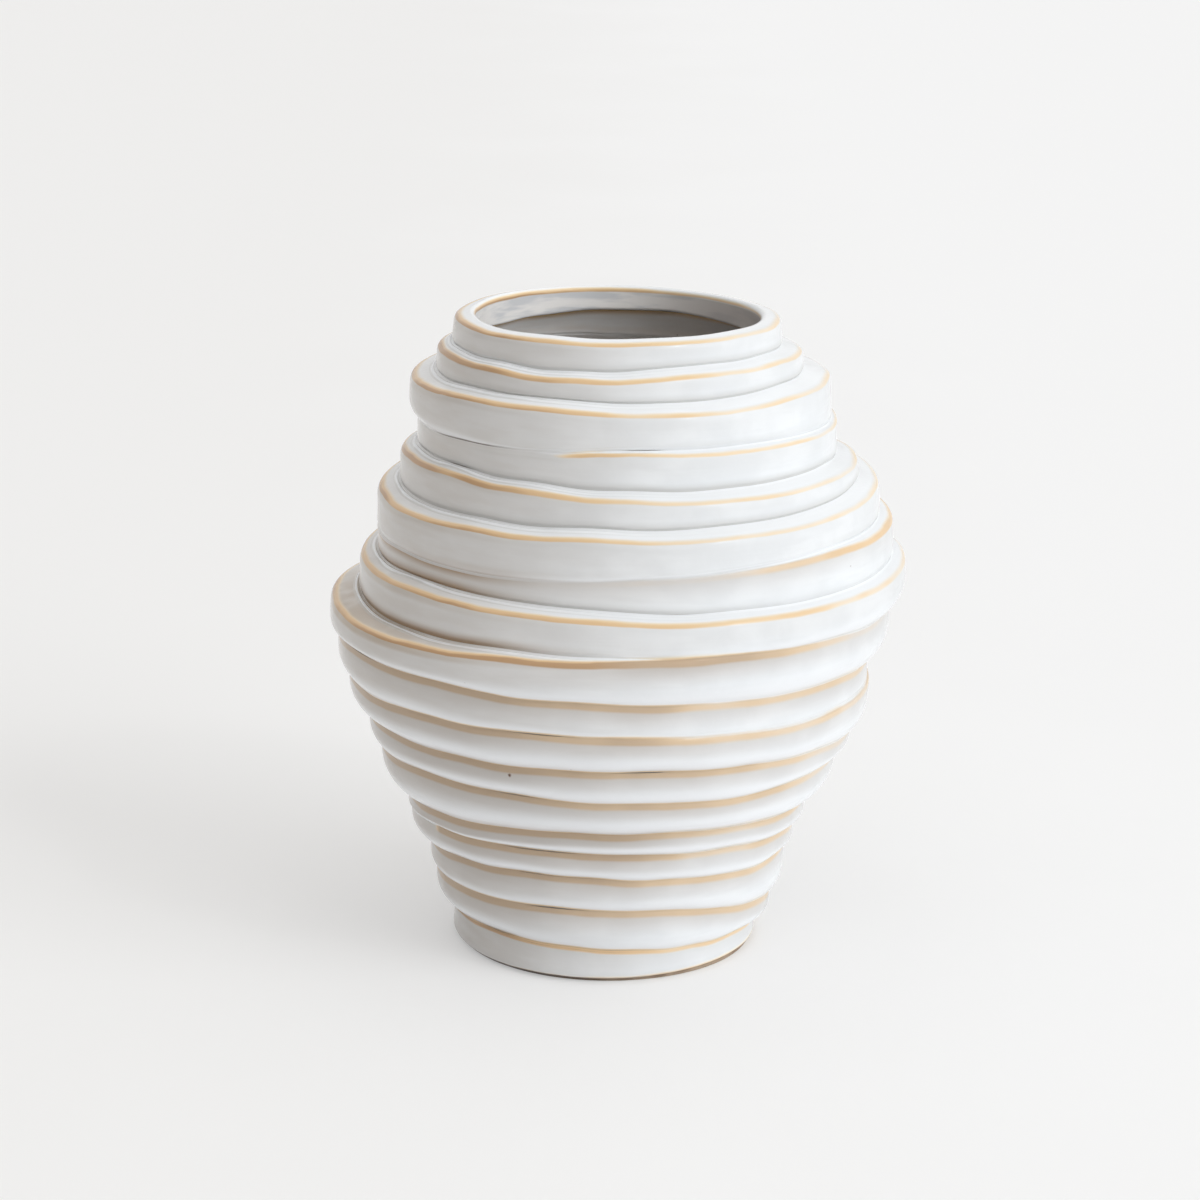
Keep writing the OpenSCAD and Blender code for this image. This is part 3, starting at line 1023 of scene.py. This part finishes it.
# %% Lay the honey edge
CREAM = (0.90, 0.80, 0.61)
PALE_HONEY = (0.86, 0.685, 0.44)
HONEY = (0.74, 0.515, 0.295)
BROWN = (0.50, 0.31, 0.165)
PALE_TAN = (0.78, 0.60, 0.40)
TAN = (0.52, 0.39, 0.27)
EDGE_STRAY = 0.9        # how far a honey line strays up and down, in mm
WIDE_START = (-0.6, 0.3)        # on a wide ledge it comes in between these distances past
NARROW_START = (-3.4, -0.8)     # the edge, and on a narrow one between these, in mm
EDGE_CORE = 0.4         # width of the honey line before it starts to fade, in mm
EDGE_FADE = 2.4         # width over which it fades where it is bold, in mm
FOOT_FADE = 4.0         # and where it runs up the foot of the next ring
FAINT_FADE = 0.8        # and where it is faint
SHADY_FADE = 0.62       # on the shady side these widths shrink to this share
DEEP_FROM = (-5.0, -3.8)        # the honey's colour gets deeper between these distances
DEEP_TO = 2.6                   # and is pale again this far past the edge, in mm
DEEPER_TAN_AND_SHADE = 1.45       # how much deeper the tan of a narrow ledge is, partly as painted shade under the ring above


def by_ledge(wide, slim):
    """The first value on a wide ledge and the second on a narrow one."""
    return glaze.between(narrow, 0, 1, wide, slim)


def honey_line(distance, strength, fade):
    """Amount and depth of the honey at this distance past an edge of this strength."""
    away = glaze.maths("ADD", distance, drift(flow, EDGE_STRAY))
    begin = glaze.between(away, *map(by_ledge, WIDE_START, NARROW_START))
    core = glaze.times(strength, EDGE_CORE)
    reach = glaze.times(glaze.maths("ADD", FAINT_FADE, glaze.times(strength, fade)),
                        glaze.between(shady, 0, 1, 1, SHADY_FADE))
    faded = glaze.maths("DIVIDE", glaze.maths("SUBTRACT", away, core), reach)
    seen = glaze.between(strength, by_ledge(0, 0.1), by_ledge(0.85, 0.7))
    amount = glaze.times(begin, glaze.between(faded, 0, 1, 1, 0), seen)
    depth = glaze.times(strength, glaze.between(away, by_ledge(0, 0.5), DEEP_TO, 1, 0),
                        glaze.between(narrow, 0.3, 0.9, 1, DEEPER_TAN_AND_SHADE),
                        glaze.between(away, *DEEP_FROM))
    return amount, depth


lines = honey_line(edge, bold, EDGE_FADE), honey_line(under, bold_under, FOOT_FADE)
honey, deep = (glaze.maths("MAXIMUM", own, lower) for own, lower in zip(*lines))
on_wide = glaze.ramp(deep, (0, CREAM), (0.3, PALE_HONEY), (0.7, HONEY), (1, BROWN))
# on a narrow ledge the tan is deepened, partly as painted shade of the ledge tucked under the ring
# above
on_narrow = glaze.ramp(deep, (0, CREAM), (0.5, PALE_TAN), (1, TAN))
glaze.lay(glaze.between(honey, 0.0, 0.75),
          glaze.blend(glaze.between(narrow, 0.35, 0.9), on_wide, on_narrow))
print("nodes after the honey:", len(glaze.tree.nodes))

# %% [markdown]
# ## Lines along the joints
#
# The colour of a joint comes partly from what has gathered in it and partly from painted
# shade. A wide face is painted grey just above its joint, as painted shade over the ledge
# below. On the shady ledges a white line of painted highlight follows the bead, and a fine
# grey line of painted crease shade follows that. Brown glaze pools in some joints and in the
# notches inside, and its brown is also painted shade in those recesses. At the foot of two
# pieces the joint is a dark line of painted shadow.

# %% Lay the lines along the joints
JOINT_SHADE_GREY = (0.56, 0.55, 0.53)
POOL_AND_SHADE_BROWN = (0.36, 0.245, 0.15)
NOTCH_POOL_AND_SHADE_BROWN = (0.58, 0.40, 0.22)
SHADOW_LINE_DARK = (0.11, 0.075, 0.06)
JOINT_SHADE_REACH = 4.5        # how far up a wide face the painted shade above its joint reaches, in mm
BEAD_HIGHLIGHT = 2.5         # distance from the joint of the painted highlight along the bead, in mm
CREASE_SHADE = 3.8            # distance of a fine line of painted crease shade from the joint, in mm
POOL_AND_SHADE_REACH = 5.5        # how far from its joint a brown pool and its painted shade reach, in mm
NOTCH_REACH = 2.6       # and how far from a notch inside
SHADOW_LINE_REACH = 1.2        # and how far a dark line of painted shadow


def stripe(middle, half_width, soft, most):
    """A painted stripe on the shady ledges, at this distance from the joint, for a highlight and
    for the shade of a crease.
    """
    off = glaze.maths("ABSOLUTE", glaze.maths("SUBTRACT", gap, middle))
    on_shady_ledge = glaze.times(shady, glaze.between(edge, 1, 2))
    return glaze.times(glaze.between(off, half_width, soft, most, 0), on_shady_ledge)


# painted shade: a wide face is laid grey just above its joint
on_face = glaze.times(glaze.between(edge, -2.0, -1.0, 1, 0), glaze.between(inside, 0, 1, 1, 0))
grey = glaze.times(glaze.between(gap, 0.0, JOINT_SHADE_REACH, 0.75, 0), on_face,
                   glaze.between(narrow, 0.1, 0.7, 1, 0), glaze.between(honey, 0, 0.3, 1, 0))
glaze.lay(grey, JOINT_SHADE_GREY)
# painted highlight along the bead, then painted shade of a fine crease
glaze.lay(stripe(BEAD_HIGHLIGHT, 0.3, 0.9, 0.9), PAINTED_LIGHT_WHITE)
glaze.lay(stripe(CREASE_SHADE, 0.2, 0.7, 0.5), JOINT_SHADE_GREY)
# brown of pooled glaze and painted shade in the recesses of joints and notches
pool_reach = glaze.between(inside, 0, 1, POOL_AND_SHADE_REACH, NOTCH_REACH)
glaze.lay(glaze.times(pool, glaze.between(gap, 0.4, pool_reach, 1, 0)),
          glaze.blend(inside, POOL_AND_SHADE_BROWN, NOTCH_POOL_AND_SHADE_BROWN))
# painted shadow: a dark line at the foot
glaze.lay(glaze.times(line, glaze.between(gap, 0.5, SHADOW_LINE_REACH, 1, 0)), SHADOW_LINE_DARK)
print("nodes after the joints:", len(glaze.tree.nodes))

# %% [markdown]
# ## Iron specks
#
# Grains of iron in the clay burn through the glaze as brown dots with a soft halo. A few
# are scattered by a Voronoi texture: each of its cells has one point and one chance
# number, and only cells with a high number get a speck. Two larger ones sit at places of
# their own on the front.

# %% Add the specks
SPECK_BROWN = (0.16, 0.085, 0.05)
SPECK_CELL = 14         # distance between the places where a speck may be, in mm
SPECK_SIZE = 0.45       # radius of a scattered speck with its halo, in mm
PLACED_SPECKS = ((-43.2, -104.4, 110.6, 1.0), (49.2, -81.9, 69.2, 0.6))     # x, y, z, size
SPECK_STRAY = 0.8       # how ragged a placed speck is, in mm
SPECK_CORE = 0.4        # radius of its dark core, as a share of its size
SPECK_HALO = 1.2        # and of its halo


def placed_speck(x, y, z, size):
    """1 on a speck at this place, in mm, and 0 a little way off."""
    away = glaze.node("VectorMath", {0: glaze.spot(), 1: (x * MM, y * MM, z * MM)},
                      operation="DISTANCE").outputs["Value"]
    away = glaze.maths("ADD", away, drift(grain, SPECK_STRAY * MM))
    return glaze.between(away, SPECK_CORE * size * MM, SPECK_HALO * size * MM, 1, 0)


cells = glaze.node("TexVoronoi", {"Vector": glaze.spot(), "Scale": 1 / (SPECK_CELL * MM)})
chance = glaze.between(cells.outputs["Color"], 0.72, 0.78)
near_point = glaze.between(cells.outputs["Distance"], 0.3 * SPECK_SIZE / SPECK_CELL,
                           SPECK_SIZE / SPECK_CELL, 0.75, 0)
specks = glaze.times(chance, near_point)
for x, y, z, size in PLACED_SPECKS:
    specks = glaze.maths("MAXIMUM", specks, placed_speck(x, y, z, size))
glaze.lay(specks, SPECK_BROWN)
glaze.plug(glaze.tone, glaze.shader.inputs["Base Color"])
print("placed specks:", len(PLACED_SPECKS))

# %% [markdown]
# ## The glaze's skin
#
# Fired glaze is glossy but not perfect. Fine pitting like orange peel, long soft ridges
# from the fingers, and close rings on the left-hand ledges where a tool was dragged round
# go in as bump. Where the glaze is thin on an edge it is a little less glossy.

# %% Give the glaze its skin
PEEL = 0.04             # depth of the orange peel, in mm
RIDGE = 0.18            # depth of the finger ridges, in mm
DRAG = 0.16             # depth of the dragged rings on a ledge, in mm
DRAG_PITCH = 1.25       # distance between dragged rings, in mm
HONEY_DULLER = 0.08     # how much rougher the glaze is where it is thin on an edge
GLAZE_IOR = 1.52        # how strongly the glaze bends light, as window glass does

skin = glaze.bump(glaze.noise(size_mm=2.4), PEEL)
skin = glaze.bump(glaze.noise(size_mm=9, stretch=(5, 5, 0.45)), RIDGE, under=skin)
drag = glaze.maths("SINE", glaze.times(gap, 2 * math.pi / DRAG_PITCH))
dragged = glaze.times(glaze.between(edge, 2.5, 4.0), thin, glaze.between(gap, 2.0, 4.5, 1, 0))
skin = glaze.bump(glaze.times(drag, dragged), DRAG, under=skin)
gloss = glaze.maths("ADD", glaze.between(cloud, 0.3, 0.7, 0.1, 0.17),
                    glaze.times(honey, HONEY_DULLER))
glaze.plug(skin, glaze.shader.inputs["Normal"])
glaze.plug(gloss, glaze.shader.inputs["Roughness"])
glaze.plug(GLAZE_IOR, glaze.shader.inputs["IOR"])
for piece in glazed:
    piece.data.materials.append(glaze.owner)
print("nodes in the glaze:", len(glaze.tree.nodes))

# %% [markdown]
# ## The bare clay
#
# Unglazed stoneware is dull, sandy and warm, with dark and light grains. Its resting face
# is rubbed paler where it has stood on tables, and its left-hand side is painted nearly
# black, as painted shadow under the vase.

# %% Mix the bare clay
CLAY_LIGHT = (0.40, 0.31, 0.23)
CLAY_DARK = (0.24, 0.175, 0.125)
CLAY_RUBBED = (0.50, 0.41, 0.31)
CLAY_IN_SHADOW = (0.09, 0.065, 0.05)
SANDINESS = 0.12        # depth of the sandy grain, in mm

clay = Finish("bare_clay", CLAY_LIGHT)
sand = clay.noise(size_mm=0.9, detail=3)
patch = clay.noise(size_mm=12)
clay.lay(clay.between(patch, 0.3, 0.7), CLAY_DARK)
clay.lay(clay.between(sand, 0.62, 0.75, 0, 0.6), CLAY_DARK)
clay.lay(clay.between(clay.painted("wear"), 0.02, 0.25, 0.8, 0), CLAY_RUBBED)
# painted shadow on the left-hand side
clay.lay(clay.painted("burnt"), CLAY_IN_SHADOW)
clay.plug(clay.tone, clay.shader.inputs["Base Color"])
clay.plug(clay.between(patch, 0.2, 0.8, 0.72, 0.9), clay.shader.inputs["Roughness"])
clay.plug(clay.bump(sand, SANDINESS), clay.shader.inputs["Normal"])
foot.data.materials.append(clay.owner)
print("nodes in the clay:", len(clay.tree.nodes))

# %% [markdown]
# ## The table
#
# The vase stands on a plain, pale, matt sheet that runs far back, so that no horizon shows.
# It is a single large mesh, a little greyer on the left and paler on the right, with a faint
# unevenness on top. A share of it is shown as if evenly lit, which keeps the shadow soft,
# but only to the eye and to reflections, so that it throws no light on the vase.

# %% Lay the table
TABLE_REACH = 18        # how far the sheet runs each way, in m
# painted shade and light: the sheet is greyer on the left and paler on the right, as light falls
# off
TABLE_SHADED_LEFT = (0.875, 0.872, 0.868)
TABLE_LIT_RIGHT = (0.925, 0.928, 0.932)
TABLE_TURN = 0.35       # the tone changes over this far to the left and right, in m
TABLE_GLOW = 0.4        # how much of the sheet the eye sees as evenly lit, as a share

table_mesh = bpy.data.meshes.new("table_sheet")
table_mesh.from_pydata(
    [(x * TABLE_REACH, y * TABLE_REACH, 0) for x, y in ((-1, -1), (1, -1), (1, 1), (-1, 1))],
    [], [(0, 1, 2, 3)])
table = bpy.data.objects.new("table_sheet", table_mesh)
scene.collection.objects.link(table)
sheet = Finish("table_white", TABLE_SHADED_LEFT)
uneven = sheet.between(sheet.noise(size_mm=300), 0, 1, -0.1, 0.1)
sideways = sheet.maths("ADD", sheet.axis("X"), uneven)
# painted light and shade across the sheet, from left to right
sheet.lay(sheet.between(sideways, -TABLE_TURN, TABLE_TURN), TABLE_LIT_RIGHT)
sheet.plug(sheet.tone, sheet.shader.inputs["Base Color"])
sheet.plug(sheet.between(sheet.noise(size_mm=150, detail=1), 0.3, 0.7, 0.8, 0.9),
           sheet.shader.inputs["Roughness"])
glow = sheet.node("Emission", {"Color": sheet.tone})
ray = sheet.node("LightPath").outputs
share = sheet.times(TABLE_GLOW, sheet.maths("MAXIMUM", ray["Is Camera Ray"], ray["Is Glossy Ray"]))
seen = sheet.node("MixShader", {0: share, 1: sheet.shader.outputs[0], 2: glow.outputs[0]})
sheet.plug(seen.outputs[0], sheet.tree.nodes["Material Output"].inputs["Surface"])
table_mesh.materials.append(sheet.owner)
print("table reaches", TABLE_REACH, "m each way")

# %% [markdown]
# ## The lamps
#
# A large soft lamp stands low on the right, a little in front. It brightens that side,
# leaves the left-hand side in shade and throws a long, pale shadow over the table. A very
# wide one overhead lights ledges and table. Sun lamps with a wide disc light the far table
# as strongly as the near, which a lamp close by would not. A third, small one is the only
# lamp that the gloss mirrors: it adds the short glints on the edges.

# %% Hang the lamps
KEY_COLOUR = (0.95, 0.98, 1.0)
FILL_COLOUR = (1.0, 0.985, 0.965)


def soft_lamp(name, strength, width, height, direction, colour=(1, 1, 1), mirrored=False):
    """A sun this wide, this high, and in this direction from the right, in degrees."""
    lamp = bpy.data.objects.new(name, bpy.data.lights.new(name, "SUN"))
    lamp.data.energy = strength
    lamp.data.angle = math.radians(width)
    lamp.data.color = colour
    lamp.rotation_euler = (0, math.radians(90 - height), math.radians(direction))
    lamp.visible_glossy = mirrored
    scene.collection.objects.link(lamp)


soft_lamp("key_lamp", strength=1.75, width=44, height=21, direction=-30, colour=KEY_COLOUR)
soft_lamp("overhead_lamp", strength=1.55, width=100, height=90, direction=0,
          colour=FILL_COLOUR)
soft_lamp("glint_lamp", strength=0.15, width=6, height=40, direction=-42, mirrored=True)

# %% [markdown]
# ## The room
#
# A plain room fills in what the lamps leave. What the gloss mirrors matters as much: rays
# from reflections see a white wall behind the vase and a window on the right, but a dim
# room on the near side, so each ring shows a pale band near its outline that ends abruptly.
# Diffuse rays only see the plain fill, and the eye sees white.

# %% Build the room
ROOM_FILL = 0.27        # how bright the room is to diffuse rays, where 1 is white
WHITE_WALL = 1.0        # and how bright its wall, its window and its backdrop are
DIM_ROOM = 0.35         # and its near side
WALL_STARTS = (0.42, 0.56)      # the wall fades in between these parts of the way back
WINDOW_STARTS = (0.15, 0.6)     # and the window between these parts of the way right

room = Wiring(bpy.data.worlds.new("room"))
scene.world = room.owner
way = room.node("SeparateXYZ", {0: room.node("TexCoord").outputs["Generated"]}).outputs
wall, window = (
    room.node("MapRange", enumerate((way[axis], *starts, DIM_ROOM, WHITE_WALL))).outputs[0]
    for axis, starts in (("Y", WALL_STARTS), ("X", WINDOW_STARTS)))
mirrored = room.node("Background", {"Strength": room.maths("MAXIMUM", wall, window)})
fill = room.node("Background", {"Color": (*FILL_COLOUR, 1), "Strength": ROOM_FILL})
plain = room.node("Background", {"Color": (1, 1, 1, 1), "Strength": WHITE_WALL})
ray = room.node("LightPath").outputs
by_gloss = room.node(
    "MixShader", {0: ray["Is Glossy Ray"], 1: fill.outputs[0], 2: mirrored.outputs[0]})
by_eye = room.node(
    "MixShader", {0: ray["Is Camera Ray"], 1: by_gloss.outputs[0], 2: plain.outputs[0]})
room.plug(by_eye.outputs[0], room.tree.nodes["World Output"].inputs["Surface"])
scene.view_settings.view_transform = "Standard"
print("nodes in the room:", len(room.tree.nodes))
